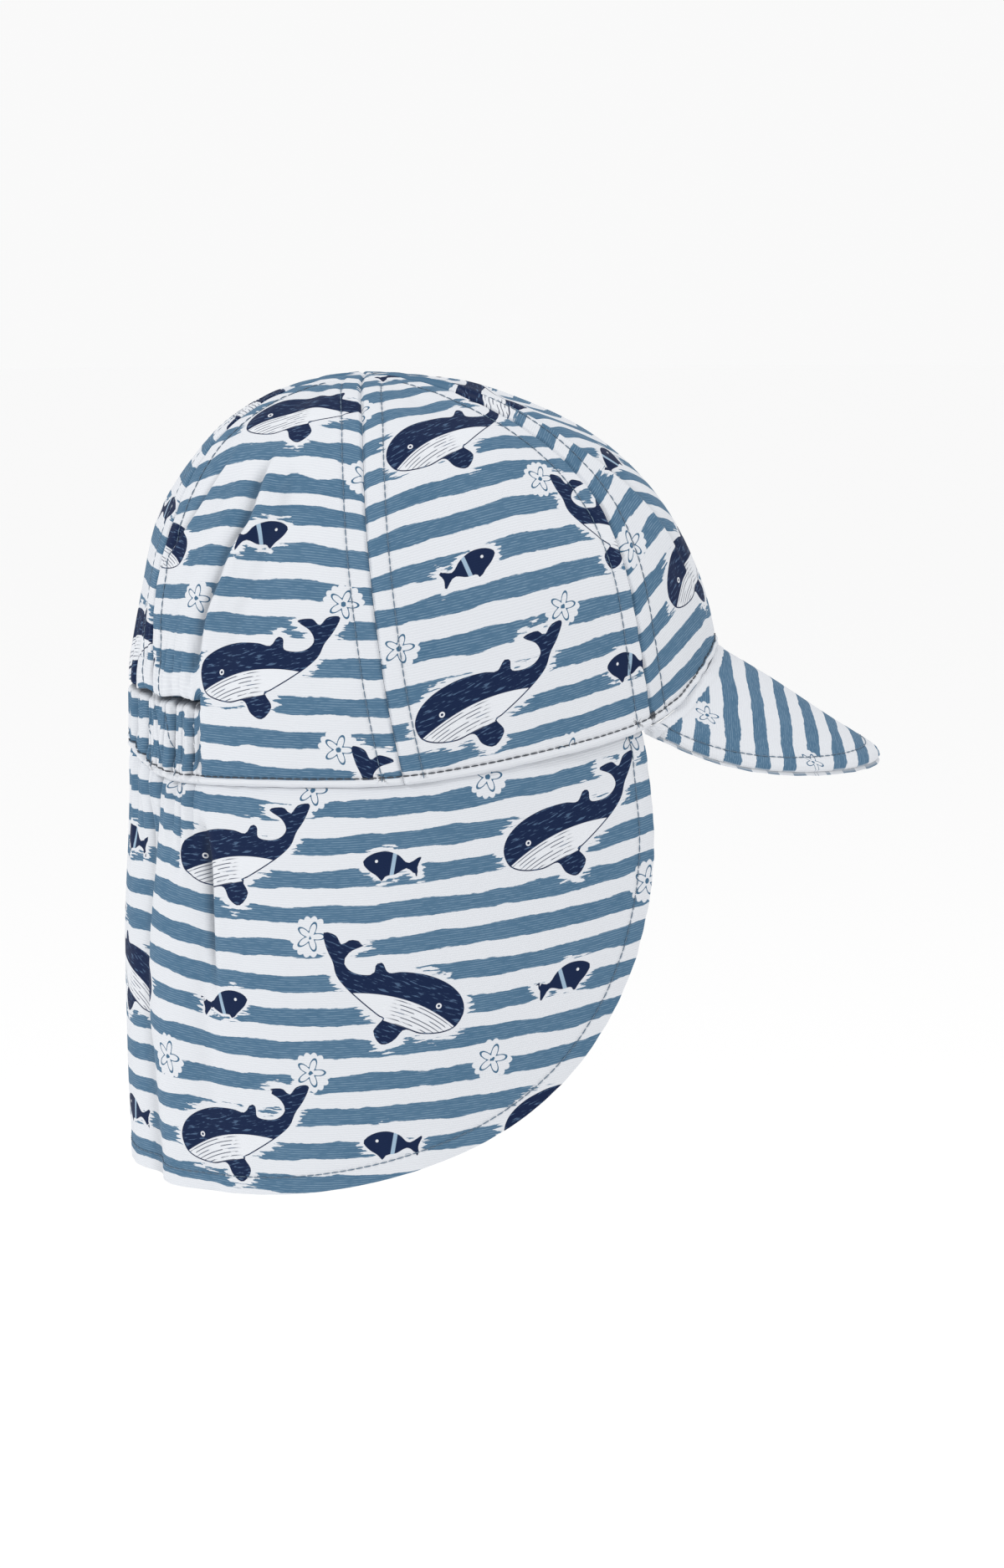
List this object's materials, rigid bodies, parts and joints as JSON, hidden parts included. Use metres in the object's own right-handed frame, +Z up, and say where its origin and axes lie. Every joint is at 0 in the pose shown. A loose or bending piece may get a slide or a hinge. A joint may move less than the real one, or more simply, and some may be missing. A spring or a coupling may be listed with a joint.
{
  "type": "legionnaire cap",
  "caption": "Child's sun hat with a stitched crown, a short arched peak and a long flap over the ears and neck.",
  "frame": {"origin": "middle of the head opening, level with the hem above the ears, where the head goes in", "axes": "+X to the front over the peak, +Y to the wearer's left, +Z up through the crown"},
  "size_m": [0.233, 0.144, 0.2411],
  "materials": {
    "crown_cloth": "ribbed polyester cloth, off-white with hand-drawn slate blue stripes and small navy motifs, slight sheen",
    "peak_cloth": "the same striped cloth with the stripes running across the peak",
    "flap_cloth": "the same striped cloth, hanging free with a stitched hem",
    "thread": "grey-blue sewing thread in rows of topstitching"
  },
  "bodies": {
    "root": {"crown_front_panel": "crown_cloth", "crown_side_front_panel_left": "crown_cloth", "crown_side_front_panel_right": "crown_cloth", "crown_side_rear_panel_left": "crown_cloth", "crown_side_rear_panel_right": "crown_cloth", "crown_back_panel": "crown_cloth", "peak_top": "peak_cloth", "peak_underside": "peak_cloth", "neck_flap": "flap_cloth"}
  },
  "joints": []
}
